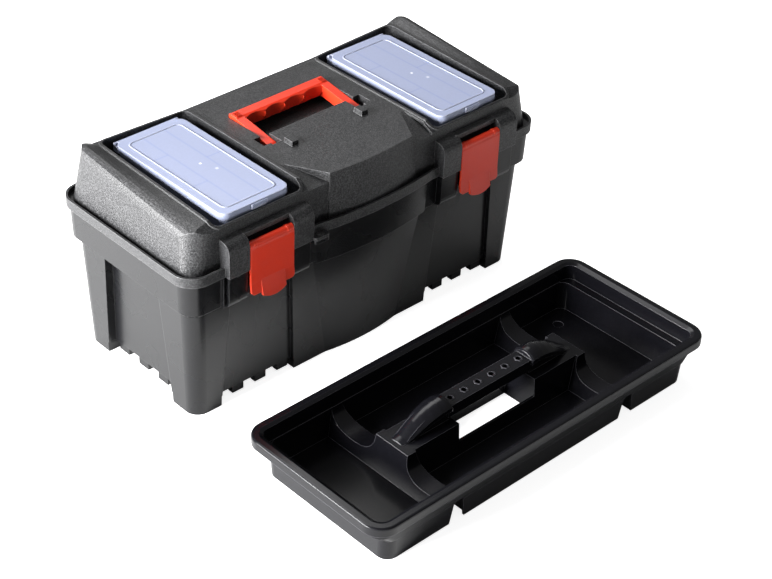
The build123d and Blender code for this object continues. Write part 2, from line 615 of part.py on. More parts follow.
# ---- Latches ----
def latch(side):
    """Over-centre latch: roll and pins at the top, a hook behind, a flared thumb lip below."""
    x = side * latch_centre
    face_y = -rim_y - lid_lug_proud - 0.4
    back_y = face_y + latch_thick
    with BuildPart() as body:
        # Plate, leaning out towards its foot, cut to its outline
        prism_x(((latch_y, latch_pivot_z + latch_roll), (latch_y, latch_pivot_z - 1),
                 (back_y, latch_pivot_z - 8), (back_y - 0.2, latch_low + 14), (back_y - 1.8, latch_low),
                 (face_y - 1.8, latch_low), (face_y - 0.2, latch_low + 14), (face_y, latch_pivot_z - 4),
                 (latch_y - latch_roll * 0.75, latch_pivot_z + latch_roll * 0.66)),
                x - latch_half, x + latch_half)
        with BuildSketch(Plane.XZ.offset(-back_y - 20)):
            with Locations((x, (latch_low + latch_pivot_z) / 2 + 10)):
                RectangleRounded(latch_width, latch_pivot_z - latch_low + 20, latch_corner)
        extrude(amount=40, mode=Mode.INTERSECT)
        # Thumb lip, flared out and bowed downwards
        prism_x(((back_y - 0.2, latch_low + 14), (back_y - 1.8, latch_low + 3),
                 (back_y - latch_flare, latch_tab_low), (face_y - latch_flare, latch_tab_low),
                 (face_y - 2.6, latch_low + 4), (face_y - 0.2, latch_low + 16)),
                x - latch_tab_width / 2, x + latch_tab_width / 2)
        with BuildSketch(Plane.XZ.offset(-back_y - 20)):
            with Locations((x, latch_tab_low + latch_tab_width)):
                Circle(latch_tab_width)
            with Locations((x, latch_tab_low + latch_tab_width)):
                Rectangle(2 * latch_tab_width, 2 * latch_tab_width - 14)
            with Locations((x, latch_pivot_z)):
                Rectangle(2 * latch_width, 2 * (latch_pivot_z - latch_low))
        extrude(amount=40, mode=Mode.INTERSECT)
        # Roll with a collar near each end
        cylinder_x(latch_roll, x - latch_half, x + latch_half, latch_y, latch_pivot_z)
        for hand in (-1, 1):
            collar = x + hand * (latch_half - collar_set)
            cylinder_x(latch_roll + 0.5, collar - collar_width / 2, collar + collar_width / 2,
                       latch_y, latch_pivot_z)
            cylinder_x(latch_pin_radius, *sorted((x + hand * latch_half,
                       x + hand * (latch_half + latch_pin_length))), latch_y, latch_pivot_z)
        # Hook behind the plate
        hook_y = -skirt_low[1] - catch_proud - hook_gap
        prism_x(((face_y + 1, hook_low - 2), (hook_y, hook_low), (hook_y, hook_low + hook_height),
                 (face_y + 1, hook_low + hook_height)), x - latch_half + 5, x + latch_half - 5)
    return body.part


left_latch, right_latch = latch(-1), latch(1)

with BuildPart() as latch_left:
    add(left_latch)
latch_left.part.label = "latch_left"

with BuildPart() as latch_right:
    add(right_latch)
latch_right.part.label = "latch_right"


# ---- Organisers ----
def organiser_box(side):
    """Clear box with three columns of compartments and two ears for its lid."""
    at = (side * bay_centre, org_y)
    top = (org_half_x - org_wall - org_lid_gap, org_half_y - org_wall - org_lid_gap)
    low = (top[0] - org_draft, top[1] - org_draft)
    inside_top = (top[0] - org_wall, top[1] - org_wall)
    inside_low = (low[0] - org_wall, low[1] - org_wall)
    with BuildPart() as cavity:
        tapered_block(bay_floor + org_floor, inside_low, org_top, inside_top,
                      org_radius - 4, org_radius - 3, at=at)
    with BuildPart() as walls:
        column = 2 * inside_top[0] / 3
        for x in (at[0] - column / 2, at[0] + column / 2):
            box_between((x - divider_wall / 2, x + divider_wall / 2), (org_front, org_back),
                        (bay_floor + org_floor / 2, divider_top))
        left, right = at[0] - org_half_x, at[0] + org_half_x
        for x0, x1, share in ((left, at[0] - column / 2, 0.30), (left, at[0] - column / 2, 0.66),
                              (at[0] + column / 2, right, 0.46)):
            y = org_back - share * (org_back - org_front)
            box_between((x0, x1), (y - divider_wall / 2, y + divider_wall / 2),
                        (bay_floor + org_floor / 2, divider_top))
        add(cavity.part, mode=Mode.INTERSECT)
    with BuildPart() as body:
        tapered_block(bay_floor, low, org_top, top, org_radius - 3, org_radius - 2, at=at)
        hinge_y_org = org_back + 2.5
        for hand in (-1, 1):
            x = at[0] + hand * org_ear_half
            ends = (x - org_ear_width / 2, x + org_ear_width / 2)
            box_between(ends, (org_y + top[1] - 3, hinge_y_org),
                        (org_hinge_z - 9, org_hinge_z - org_knuckle_radius + 1))
            box_between(ends, (hinge_y_org - org_knuckle_radius, hinge_y_org + org_knuckle_radius),
                        (org_hinge_z - 9, org_hinge_z))
            cylinder_x(org_knuckle_radius, *ends, hinge_y_org, org_hinge_z)
            cylinder_x(org_rod_radius + org_rod_gap, ends[0] - 1, ends[1] + 1, hinge_y_org, org_hinge_z,
                       mode=Mode.SUBTRACT)
        add(cavity.part, mode=Mode.SUBTRACT)
        add(walls.part)
    return body.part


def organiser_lid(side):
    """Clear lid: flat plate with a raised line, a skirt on three sides and a hinge rod behind."""
    at = (side * bay_centre, org_y)
    outer = (org_half_x, org_half_y)
    inner = (org_half_x - org_wall, org_half_y - org_wall)
    low = org_lid_top - org_lid_skirt
    hinge_y_org = org_back + 2.5
    with BuildPart() as body:
        tapered_block(low, outer, org_lid_top, (outer[0] - 0.6, outer[1] - 0.6),
                      org_radius, org_radius, at=at)
        tapered_block(low, inner, org_lid_top - org_lid_plate, inner, org_radius - org_wall,
                      org_radius - org_wall, at=at, mode=Mode.SUBTRACT)
        # The hinge side has no skirt
        box_between((at[0] - inner[0], at[0] + inner[0]), (org_y + inner[1] - org_radius, org_back + 1),
                    (low, org_lid_top - org_lid_plate), mode=Mode.SUBTRACT)
        for grow, mode in ((0, Mode.ADD), (bead_line, Mode.SUBTRACT)):
            with BuildSketch(Plane.XY.offset(org_lid_top)):
                with Locations(at):
                    RectangleRounded(2 * (outer[0] - bead_inset - grow), 2 * (outer[1] - bead_inset - grow),
                                     8 - grow)
            extrude(amount=bead_rise, mode=mode)
        inner_ends = org_ear_half - org_ear_width / 2 - 0.4
        cylinder_x(org_knuckle_radius, at[0] - inner_ends, at[0] + inner_ends, hinge_y_org, org_hinge_z)
        box_between((at[0] - inner_ends, at[0] + inner_ends), (org_back - 1, hinge_y_org),
                    (org_hinge_z + 0.4, org_hinge_z + org_knuckle_radius))
        rod_ends = org_ear_half + org_ear_width / 2
        cylinder_x(org_rod_radius, at[0] - rod_ends, at[0] + rod_ends, hinge_y_org, org_hinge_z)
    return body.part


def organiser_clip(side):
    """Flap that hangs from the lid's front edge and closes over the box's edge."""
    x = side * bay_centre + 2
    y = org_front - clip_gap
    bead = clip_thick / 2
    bottom, top = org_lid_top - clip_drop, org_lid_top - 0.6 - bead
    ends = (x - clip_width / 2, x + clip_width / 2)
    with BuildPart() as body:
        box_between(ends, (y - clip_thick, y), (bottom, top))
        cylinder_x(bead, *ends, y - bead, top)
        box_between((ends[0] + 3, ends[1] - 3), (y - clip_thick - 0.7, y - clip_thick),
                    (bottom, bottom + 1.4))
    return body.part


left_box, right_box = organiser_box(-1), organiser_box(1)
left_lid, right_lid = organiser_lid(-1), organiser_lid(1)
left_clip, right_clip = organiser_clip(-1), organiser_clip(1)

with BuildPart() as organiser_left_box:
    add(left_box)
organiser_left_box.part.label = "organiser_left_box"

with BuildPart() as organiser_right_box:
    add(right_box)
organiser_right_box.part.label = "organiser_right_box"

with BuildPart() as organiser_left_lid:
    add(left_lid)
organiser_left_lid.part.label = "organiser_left_lid"

with BuildPart() as organiser_right_lid:
    add(right_lid)
organiser_right_lid.part.label = "organiser_right_lid"

with BuildPart() as organiser_left_clip:
    add(left_clip)
organiser_left_clip.part.label = "organiser_left_clip"

with BuildPart() as organiser_right_clip:
    add(right_clip)
organiser_right_clip.part.label = "organiser_right_clip"

# ---- Tote tray, stood on the floor in front of the box ----
tray_half = (skirt_low[0] - wall - tray_end_clear, skirt_low[1] - wall - tray_side_clear)
turn = math.radians(tray_turn)
tray_plane = Plane(origin=(tray_x, tray_y, 0), x_dir=(math.cos(turn), math.sin(turn), 0), z_dir=(0, 0, 1))


def upright(along, offset):
    """A vertical working plane of the tray: along "x" its sketches are (y, z), along "y" (x, z)."""
    if along == "x":
        return Plane(origin=tray_plane.from_local_coords((offset, 0, 0)), x_dir=tray_plane.y_dir,
                     z_dir=tray_plane.x_dir)
    return Plane(origin=tray_plane.from_local_coords((0, offset, 0)), x_dir=tray_plane.x_dir,
                 z_dir=-tray_plane.y_dir)


def divider_form(side, inset, reach):
    """Cross divider: leaning walls, its top scooped between the long walls and the spine."""
    x = side * divider_x
    end_x, trough_x = x + side * (divider_end_half - inset), x - side * (divider_trough_half - inset)
    top = (x + side * (divider_top_half - inset), x - side * (divider_top_half - inset))
    wall_z, low_z, spine_z = scoop_wall_z - inset, scoop_low_z - inset, spine_top - inset
    foot_z = -1 if inset else 0
    side_y = tray_half[1] - tray_side_set
    with BuildPart() as form:
        with BuildSketch(upright("y", -reach)):
            with BuildLine():
                Polyline((end_x, foot_z), (top[0], spine_top - inset + 1), (top[1], spine_top - inset + 1),
                         (trough_x, foot_z), close=True)
            make_face()
        extrude(amount=-2 * reach)
        top_y, foot_y = spine_top_half + 3 - inset, side_y - 2 + inset
        with BuildSketch(upright("x", x - 40)):
            for hand in (-1, 1):
                with BuildLine():
                    Polyline((0, foot_z), (0, spine_z), (hand * top_y, spine_z))
                    Spline((hand * top_y, spine_z), (hand * (top_y + 9), low_z + 5),
                           (hand * (side_y + spine_top_half) / 2, low_z), (hand * (foot_y - 10), low_z + 7),
                           (hand * foot_y, wall_z))
                    Polyline((hand * foot_y, wall_z), (hand * reach, wall_z), (hand * reach, foot_z),
                             (0, foot_z))
                make_face()
        extrude(amount=80, mode=Mode.INTERSECT)
    return form.part


def spine_form(inset):
    """Raised spine along the tray's middle."""
    low = (divider_x, spine_foot_half - inset)
    high = (divider_x, spine_top_half - inset)
    with BuildPart() as form:
        slab(-1 if inset else 0, (-low[0], low[0], -low[1], low[1]), spine_top - inset,
             (-high[0], high[0], -high[1], high[1]), plane=tray_plane)
    return form.part


outer_forms = [spine_form(0)] + [divider_form(side, 0, tray_half[1]) for side in (-1, 1)]
inner_forms = [spine_form(tray_wall)]
body_high = (tray_half[0] - tray_end_set, tray_half[1] - tray_side_set)
body_low = (body_high[0] - tray_draft, body_high[1] - tray_draft)
inner_forms += [divider_form(side, tray_wall, tray_half[1]) for side in (-1, 1)]
band_z = tray_height - tray_band

with BuildPart() as tray_forms:
    add(outer_forms)
    inset = 0.6
    tapered_block(0, (body_low[0] - inset, body_low[1] - inset), band_z + 1,
                  (body_high[0] - inset, body_high[1] - inset), tray_radius - inset, tray_radius - inset,
                  plane=tray_plane, mode=Mode.INTERSECT)

with BuildPart() as tray_hollows:
    add(inner_forms)
    span = (-tray_half[0], tray_half[0], -body_low[1] + tray_wall, body_low[1] - tray_wall)
    slab(-1, span, band_z, span, plane=tray_plane, mode=Mode.INTERSECT)

with BuildPart() as tote_tray:
    tapered_block(0, body_low, band_z + 1, body_high, tray_radius, tray_radius, plane=tray_plane)
    # Ends step out under the rim to make the ledges
    ledge_half = (body_high[0] + ledge_out, body_high[1])
    tapered_block(ledge_height - 12, body_high, ledge_height - tray_wall, ledge_half,
                  tray_radius, tray_radius, plane=tray_plane)
    tapered_block(ledge_height - tray_wall, ledge_half, band_z + 1, ledge_half,
                  tray_radius, tray_radius, plane=tray_plane)
    # Rim, its outer edge rounded in three short steps
    rim_steps = ((band_z, 0), (tray_height - 2.6, 0), (tray_height - 1.2, 0.5), (tray_height - 0.3, 1.5),
                 (tray_height, 2.8))
    for (low_z, low_set), (high_z, high_set) in zip(rim_steps, rim_steps[1:]):
        tapered_block(low_z, (tray_half[0] - low_set, tray_half[1] - low_set),
                      high_z, (tray_half[0] - high_set, tray_half[1] - high_set),
                      tray_rim_corner - low_set, tray_rim_corner - high_set, plane=tray_plane)
    # Hollow under the rim's overhang
    shell_in = (tray_half[0] - tray_wall, tray_half[1] - tray_wall)
    with BuildSketch(tray_plane.offset(band_z - 1)):
        RectangleRounded(2 * shell_in[0], 2 * shell_in[1], tray_rim_corner - tray_wall)
        RectangleRounded(2 * ledge_half[0], 2 * ledge_half[1], tray_radius, mode=Mode.SUBTRACT)
    extrude(amount=tray_band + 1 - tray_wall, mode=Mode.SUBTRACT)
    # Inside
    cut_low = (body_low[0] - tray_wall, body_low[1] - tray_wall)
    cut_high = (body_high[0] - tray_wall, body_high[1] - tray_wall)
    tapered_block(tray_wall, cut_low, tray_height, cut_high, tray_radius - tray_wall,
                  tray_radius - tray_wall, plane=tray_plane, mode=Mode.SUBTRACT)
    ledge_in = (ledge_half[0] - tray_wall, cut_high[1])
    tapered_block(ledge_height, ledge_in, tray_height, ledge_in,
                  tray_radius - tray_wall, tray_radius - tray_wall, plane=tray_plane, mode=Mode.SUBTRACT)
    mouth = (tray_half[0] - tray_rim_flat, tray_half[1] - tray_rim_flat)
    tapered_block(tray_height - tray_wall, ledge_in, tray_height, mouth, tray_radius,
                  tray_rim_corner - tray_rim_flat, plane=tray_plane, mode=Mode.SUBTRACT)
    # Spine and dividers, hollow underneath
    add(tray_forms.part)
    add(tray_hollows.part, mode=Mode.SUBTRACT)
    for x in (-divider_x, divider_x):
        for hand in (-1, 1):
            through = sorted((hand * (body_low[1] - tray_wall - 0.5), hand * (tray_half[1] - 6)))
            slab(-1, (x - slot_half, x + slot_half, *through), slot_height,
                 (x - slot_top_half, x + slot_top_half, *through), plane=tray_plane, mode=Mode.SUBTRACT)
    # Finger opening right through the spine
    slab(-1, (-opening_half, opening_half, -spine_foot_half + 4.5, spine_foot_half - 4.5), spine_top + 1,
         (-opening_half, opening_half, -spine_foot_half + 4.5, spine_foot_half - 4.5),
         plane=tray_plane, mode=Mode.SUBTRACT)
    slab(opening_wall_z, (-opening_half, opening_half, -spine_foot_half - 1, spine_foot_half + 1),
         spine_top + 1, (-opening_half, opening_half, -spine_foot_half - 1, spine_foot_half + 1),
         plane=tray_plane, mode=Mode.SUBTRACT)
    for hand in (-1, 1):
        slab(0, (-opening_half, opening_half, *sorted((hand * (spine_foot_half - 4.5),
             hand * (spine_foot_half - 2)))), opening_wall_z,
             (-opening_half, opening_half, *sorted((hand * (spine_foot_half - 4.5),
              hand * (spine_foot_half - 2)))), plane=tray_plane)
        for end in (-1, 1):
            slab(0, (*sorted((end * opening_half, end * (opening_half + tray_wall))), -spine_foot_half + 3,
                     spine_foot_half - 3), spine_top - 1,
                 (*sorted((end * opening_half, end * (opening_half + tray_wall))), -spine_top_half + 1,
                  spine_top_half - 1), plane=tray_plane)
    # Grip bar between two arched hoods
    slab(bar_low_z, (-hood_inner - 4, hood_inner + 4, -bar_half, bar_half), bar_top_z,
         (-hood_inner - 4, hood_inner + 4, -bar_half, bar_half), plane=tray_plane)
    # Each hood is a rounded roll that arches down to the spine on a thinner web
    hood_line = ((hood_inner, hood_half - 1, hood_top_z - 2.5),
                 (hood_inner + 2, hood_half, hood_top_z - 0.8),
                 (hood_inner + 8, hood_half, hood_top_z), (hood_inner + 18, hood_half, hood_top_z - 0.9),
                 (hood_inner + 28, hood_half - 0.6, hood_top_z - 3.2),
                 (hood_inner + 38, hood_half - 1.5, hood_top_z - 6.8),
                 (hood_inner + 48, hood_half - 2.6, hood_top_z - 11.8),
                 (hood_inner + 57, hood_half - 3.8, hood_top_z - 17.6),
                 (hood_inner + 65, hood_half - 5, spine_top + 4.2),
                 (hood_outer, hood_half - 6.4, spine_top + 0.8))
    for end in (-1, 1):
        for x, half_width, top in hood_line:
            low = max(spine_top - 1, top - hood_roll)
            side_z = low + 0.45 * (top - low)
            with BuildSketch(upright("x", end * x)):
                with BuildLine():
                    Polyline((half_width, side_z), (half_width, low), (-half_width, low),
                             (-half_width, side_z))
                    ThreePointArc((-half_width, side_z), (0, top), (half_width, side_z))
                make_face()
        loft(ruled=True)
        with BuildSketch(upright("y", 0)):
            with BuildLine():
                Polyline((end * (hood_inner + 1), spine_top - 1),
                         *((end * (x + 1), top - 3) for x, half_width, top in hood_line[:-1]),
                         (end * (hood_inner + 68), spine_top - 1), close=True)
            make_face()
        extrude(amount=hood_half - hood_web_set - 3.5, both=True)
    # Sockets for screwdriver bits, each with a raised rim
    with BuildSketch(tray_plane.offset(bar_top_z)):
        with GridLocations(socket_pitch, 0, socket_count, 1):
            RegularPolygon(socket_radius + socket_rim, 6)
    extrude(amount=socket_rim_height)
    with BuildSketch(tray_plane.offset(bar_top_z + socket_rim_height)):
        with GridLocations(socket_pitch, 0, socket_count, 1):
            RegularPolygon(socket_radius, 6)
    extrude(amount=-socket_depth, mode=Mode.SUBTRACT)
    # Mark left where the plastic was fed in
    with BuildSketch(tray_plane.offset(tray_wall - 0.5)):
        with Locations((gate_x, gate_y)):
            Circle(gate_radius)
    extrude(amount=1, mode=Mode.SUBTRACT)
tote_tray.part.label = "tote_tray"

# ---- Files ----
os.makedirs("parts", exist_ok=True)
pieces = (base_shell, lid_shell, hinge_pin_left, hinge_pin_right, carry_handle, latch_left, latch_right,
          organiser_left_box, organiser_right_box, organiser_left_lid, organiser_right_lid,
          organiser_left_clip, organiser_right_clip, tote_tray)
for piece in pieces:
    export_step(piece.part, f"parts/{piece.part.label}.step")
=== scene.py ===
from math import radians

import bpy
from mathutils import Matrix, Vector


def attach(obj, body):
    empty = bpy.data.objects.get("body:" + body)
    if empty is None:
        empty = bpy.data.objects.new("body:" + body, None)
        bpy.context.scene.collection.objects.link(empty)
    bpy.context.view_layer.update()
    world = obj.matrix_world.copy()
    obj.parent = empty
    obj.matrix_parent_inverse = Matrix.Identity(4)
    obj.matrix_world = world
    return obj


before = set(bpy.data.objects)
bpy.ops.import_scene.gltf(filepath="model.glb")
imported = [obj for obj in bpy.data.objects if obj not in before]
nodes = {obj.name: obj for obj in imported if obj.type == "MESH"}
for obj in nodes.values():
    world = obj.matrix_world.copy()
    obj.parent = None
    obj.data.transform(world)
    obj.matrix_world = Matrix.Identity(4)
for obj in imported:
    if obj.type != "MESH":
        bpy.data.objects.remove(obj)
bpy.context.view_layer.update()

# Camera: stands to the front left of the box and above it, looking down on the lid
# and the tray, with a long lens shifted so that both sit in the middle of the view.
bpy.ops.object.select_all(action="DESELECT")
CAMERA_PLACE = (-1.2548, -1.4243, 1.3506)
LOOKING_DOWN, TURNED_RIGHT, ROLL = 35.036, 40.158, 0.045      # degrees
bpy.ops.object.camera_add(location=CAMERA_PLACE)
camera = bpy.context.object
camera.name = "camera"
camera.rotation_euler = (radians(90 - LOOKING_DOWN), 0, radians(-TURNED_RIGHT))
camera.rotation_euler.rotate_axis("Z", radians(ROLL))
camera.data.sensor_width = 36
camera.data.lens = 86.37
camera.data.shift_x = 0.1481
camera.data.shift_y = -0.0093
camera.data.clip_end = 50
bpy.context.scene.camera = camera

# Materials: all the plastics share one recipe, made of three node groups, for edges
# paled by painted highlight and wear, the grain of the mould, and settled dust.


def start_group(name, inputs, outputs):
    """A shader node group with the given sockets; returns it with its two end nodes."""
    group = bpy.data.node_groups.new(name, "ShaderNodeTree")
    for title, kind, value in inputs:
        socket = group.interface.new_socket(title, in_out="INPUT", socket_type=kind)
        socket.default_value = value
    for title, kind in outputs:
        group.interface.new_socket(title, in_out="OUTPUT", socket_type=kind)
    return group, group.nodes.new("NodeGroupInput"), group.nodes.new("NodeGroupOutput")


def put(tree, kind, **values):
    """A node in the tree, its properties and inputs set by name."""
    node = tree.nodes.new("ShaderNode" + kind)
    for title, value in values.items():
        if hasattr(node, title):
            setattr(node, title, value)
        else:
            node.inputs[title.replace("_", " ")].default_value = value
    return node


def edge_group():
    """Mask of painted highlight and wear: 1 on a moulding's outer edges, fading onto its faces, broken up
    by wear.
    """
    group, start, end = start_group(
        "Worn and highlit edges", [("Reach", "NodeSocketFloat", 0.0012), ("Breakup", "NodeSocketFloat", 0.35)],
        [("Mask", "NodeSocketFloat")])
    link = group.links.new
    bevel = put(group, "Bevel", samples=6)
    link(start.outputs["Reach"], bevel.inputs["Radius"])
    face = put(group, "NewGeometry")
    turned = put(group, "VectorMath", operation="DOT_PRODUCT")
    link(bevel.outputs["Normal"], turned.inputs[0])
    link(face.outputs["Normal"], turned.inputs[1])
    sharp = put(group, "MapRange", clamp=True)
    sharp.inputs["From Min"].default_value = 0.955
    sharp.inputs["From Max"].default_value = 0.76
    link(turned.outputs["Value"], sharp.inputs["Value"])
    place = put(group, "TexCoord")
    chips = put(group, "TexNoise", Scale=160.0, Detail=3.0)
    link(place.outputs["Object"], chips.inputs["Vector"])
    worn = put(group, "MapRange", clamp=True)
    worn.inputs["From Min"].default_value = 0.35
    worn.inputs["From Max"].default_value = 0.65
    link(chips.outputs["Fac"], worn.inputs["Value"])
    kept = put(group, "Math", operation="MULTIPLY_ADD")
    link(worn.outputs["Result"], kept.inputs[0])
    link(start.outputs["Breakup"], kept.inputs[1])
    rest = put(group, "Math", operation="SUBTRACT")
    rest.inputs[0].default_value = 1.0
    link(start.outputs["Breakup"], rest.inputs[1])
    link(rest.outputs["Value"], kept.inputs[2])
    mask = put(group, "Math", operation="MULTIPLY")
    link(sharp.outputs["Result"], mask.inputs[0])
    link(kept.outputs["Value"], mask.inputs[1])
    link(mask.outputs["Value"], end.inputs["Mask"])
    return group


def grain_group():
    """Texture etched in the mould: a height for bump and a value for how much the gloss varies."""
    group, start, end = start_group(
        "Mould grain", [("Size", "NodeSocketFloat", 600.0), ("Depth", "NodeSocketFloat", 1.0)],
        [("Height", "NodeSocketFloat"), ("Sheen", "NodeSocketFloat"), ("Fleck", "NodeSocketFloat")])
    link = group.links.new
    place = put(group, "TexCoord")
    pits = put(group, "TexNoise", Detail=4.0, Roughness=0.65)
    link(place.outputs["Object"], pits.inputs["Vector"])
    link(start.outputs["Size"], pits.inputs["Scale"])
    swirl = put(group, "TexNoise", Scale=9.0, Detail=3.0)
    link(place.outputs["Object"], swirl.inputs["Vector"])
    height = put(group, "Math", operation="MULTIPLY")
    link(pits.outputs["Fac"], height.inputs[0])
    link(start.outputs["Depth"], height.inputs[1])
    sheen = put(group, "MapRange", clamp=True)
    sheen.inputs["From Min"].default_value = 0.3
    sheen.inputs["From Max"].default_value = 0.7
    link(swirl.outputs["Fac"], sheen.inputs["Value"])
    fleck = put(group, "MapRange", clamp=True)
    fleck.inputs["From Min"].default_value = 0.42
    fleck.inputs["From Max"].default_value = 0.66
    link(pits.outputs["Fac"], fleck.inputs["Value"])
    link(height.outputs["Value"], end.inputs["Height"])
    link(sheen.outputs["Result"], end.inputs["Sheen"])
    link(fleck.outputs["Result"], end.inputs["Fleck"])
    return group


def dust_group():
    """Mask of the fine dust that settles on faces that look upwards."""
    group, start, end = start_group(
        "Settled dust", [("Amount", "NodeSocketFloat", 0.1)], [("Mask", "NodeSocketFloat")])
    link = group.links.new
    face = put(group, "NewGeometry")
    split = put(group, "SeparateXYZ")
    link(face.outputs["Normal"], split.inputs["Vector"])
    up = put(group, "MapRange", clamp=True)
    up.inputs["From Min"].default_value = 0.6
    up.inputs["From Max"].default_value = 1.0
    link(split.outputs["Z"], up.inputs["Value"])
    place = put(group, "TexCoord")
    drift = put(group, "TexNoise", Scale=24.0, Detail=8.0, Roughness=0.7)
    link(place.outputs["Object"], drift.inputs["Vector"])
    cover = put(group, "MapRange", clamp=True)
    cover.inputs["From Min"].default_value = 0.38
    cover.inputs["From Max"].default_value = 0.75
    link(drift.outputs["Fac"], cover.inputs["Value"])
    both = put(group, "Math", operation="MULTIPLY")
    link(up.outputs["Result"], both.inputs[0])
    link(cover.outputs["Result"], both.inputs[1])
    mask = put(group, "Math", operation="MULTIPLY")
    link(both.outputs["Value"], mask.inputs[0])
    link(start.outputs["Amount"], mask.inputs[1])
    link(mask.outputs["Value"], end.inputs["Mask"])
    return group


worn_and_highlit_edges, mould_grain, settled_dust = edge_group(), grain_group(), dust_group()
DUST_COLOUR = (0.35, 0.34, 0.33)


def moulding(name, colour, highlit_worn_edge_colour, fleck_colour, roughness, gloss, grain=600.0, bump=0.1,
             reach=0.0012, highlit_worn_edge_amount=0.6, fleck=0.3, dust=0.05, transmission=0.0, ior=1.49):
    """Moulded plastic: mould grain, flecks, edges paled by painted highlight and wear, a trace of dust."""
    material = bpy.data.materials.new(name)
    material.use_nodes = True
    tree = material.node_tree
    link = tree.links.new
    shader = tree.nodes["Principled BSDF"]
    shader.inputs["Specular IOR Level"].default_value = gloss
    shader.inputs["IOR"].default_value = ior
    shader.inputs["Transmission Weight"].default_value = transmission

    def grouped(group, **values):
        node = tree.nodes.new("ShaderNodeGroup")
        node.node_tree = group
        for title, value in values.items():
            node.inputs[title].default_value = value
        return node

    # The edge layer paints highlight along the outer edges, together with wear.
    edges = grouped(worn_and_highlit_edges, Reach=reach)
    texture = grouped(mould_grain, Size=grain)
    powder = grouped(settled_dust, Amount=dust)
    layers = [(texture.outputs["Fleck"], fleck, fleck_colour),
              (edges.outputs["Mask"], highlit_worn_edge_amount, highlit_worn_edge_colour),
              (powder.outputs["Mask"], 1.0, DUST_COLOUR)]
    below = None
    for mask, amount, tint in layers:
        part = put(tree, "Math", operation="MULTIPLY")
        part.inputs[1].default_value = amount
        link(mask, part.inputs[0])
        mix = put(tree, "Mix", data_type="RGBA")
        link(part.outputs["Value"], mix.inputs["Factor"])
        if below is None:
            mix.inputs["A"].default_value = (*colour, 1)
        else:
            link(below, mix.inputs["A"])
        mix.inputs["B"].default_value = (*tint, 1)
        below = mix.outputs["Result"]
    link(below, shader.inputs["Base Color"])
    rough = put(tree, "MapRange")
    rough.inputs["To Min"].default_value = roughness * 0.85
    rough.inputs["To Max"].default_value = roughness * 1.15
    link(texture.outputs["Sheen"], rough.inputs["Value"])
    link(rough.outputs["Result"], shader.inputs["Roughness"])
    soft = put(tree, "Bevel", samples=4)
    soft.inputs["Radius"].default_value = reach * 0.8
    relief = put(tree, "Bump", Strength=bump, Distance=0.0004)
    link(texture.outputs["Height"], relief.inputs["Height"])
    link(soft.outputs["Normal"], relief.inputs["Normal"])
    link(relief.outputs["Normal"], shader.inputs["Normal"])
    return material


def finish_node(name, material):
    """Puts a material on a moulding carried over from the frame."""
    for place in nodes[name].material_slots:
        place.material = material


# Base: one black polypropylene moulding with a glossy band round its mouth, recessed
# panels and four corner posts. It comes off a polished mould, so it is smoother than the lid.
# Its paler edge colour is painted highlight together with wear.
base_plastic = moulding("base plastic", (0.0035, 0.0036, 0.0042), (0.07, 0.07, 0.075),
                        (0.007, 0.007, 0.008), roughness=0.27, gloss=0.30, grain=300.0, bump=0.04,
                        fleck=0.2, dust=0.0)
finish_node("base_shell", base_plastic)

# Lid: the same black plastic from a finely etched mould, so it is matte and speckled
# all over. It turns on two steel pins at the back.
# Its paler edge colour is painted highlight together with wear.
lid_plastic = moulding("lid plastic", (0.0050, 0.0052, 0.0058), (0.17, 0.17, 0.175), (0.075, 0.075, 0.078),
                       roughness=0.40, gloss=0.36, grain=560.0, bump=1.0, reach=0.0014, fleck=0.6,
                       highlit_worn_edge_amount=0.7, dust=0.02)
finish_node("lid_shell", lid_plastic)

# Hinge pins: short lengths of drawn steel rod pressed into the base's knuckles.
pin_steel = bpy.data.materials.new("drawn steel")
pin_steel.use_nodes = True
pin_tree = pin_steel.node_tree
pin_shader = pin_tree.nodes["Principled BSDF"]
pin_shader.inputs["Metallic"].default_value = 1.0
pin_shader.inputs["Base Color"].default_value = (0.52, 0.52, 0.53, 1)
pin_place = put(pin_tree, "TexCoord")
pin_streaks = put(pin_tree, "TexNoise", Scale=900.0, Detail=3.0)
pin_stretch = put(pin_tree, "Mapping")
pin_stretch.inputs["Scale"].default_value = (0.05, 1, 1)
pin_rough = put(pin_tree, "MapRange")
pin_rough.inputs["To Min"].default_value = 0.22
pin_rough.inputs["To Max"].default_value = 0.42
pin_tree.links.new(pin_place.outputs["Object"], pin_stretch.inputs["Vector"])
pin_tree.links.new(pin_stretch.outputs["Vector"], pin_streaks.inputs["Vector"])
pin_tree.links.new(pin_streaks.outputs["Fac"], pin_rough.inputs["Value"])
pin_tree.links.new(pin_rough.outputs["Result"], pin_shader.inputs["Roughness"])
finish_node("hinge_pin_left", pin_steel)
finish_node("hinge_pin_right", pin_steel)

# Carry handle and latches: bright red plastic, smooth and slightly waxy. The handle
# folds into the lid; each latch snaps over a rib on the base.
# Its paler edge colour is painted highlight together with wear.
red_plastic = moulding("red plastic", (0.60, 0.030, 0.010), (0.85, 0.18, 0.08), (0.64, 0.045, 0.014),
                       roughness=0.33, gloss=0.32, grain=420.0, bump=0.06, reach=0.001, highlit_worn_edge_amount=0.35,
                       fleck=0.2, dust=0.0)
for name in ("carry_handle", "latch_left", "latch_right"):
    finish_node(name, red_plastic)

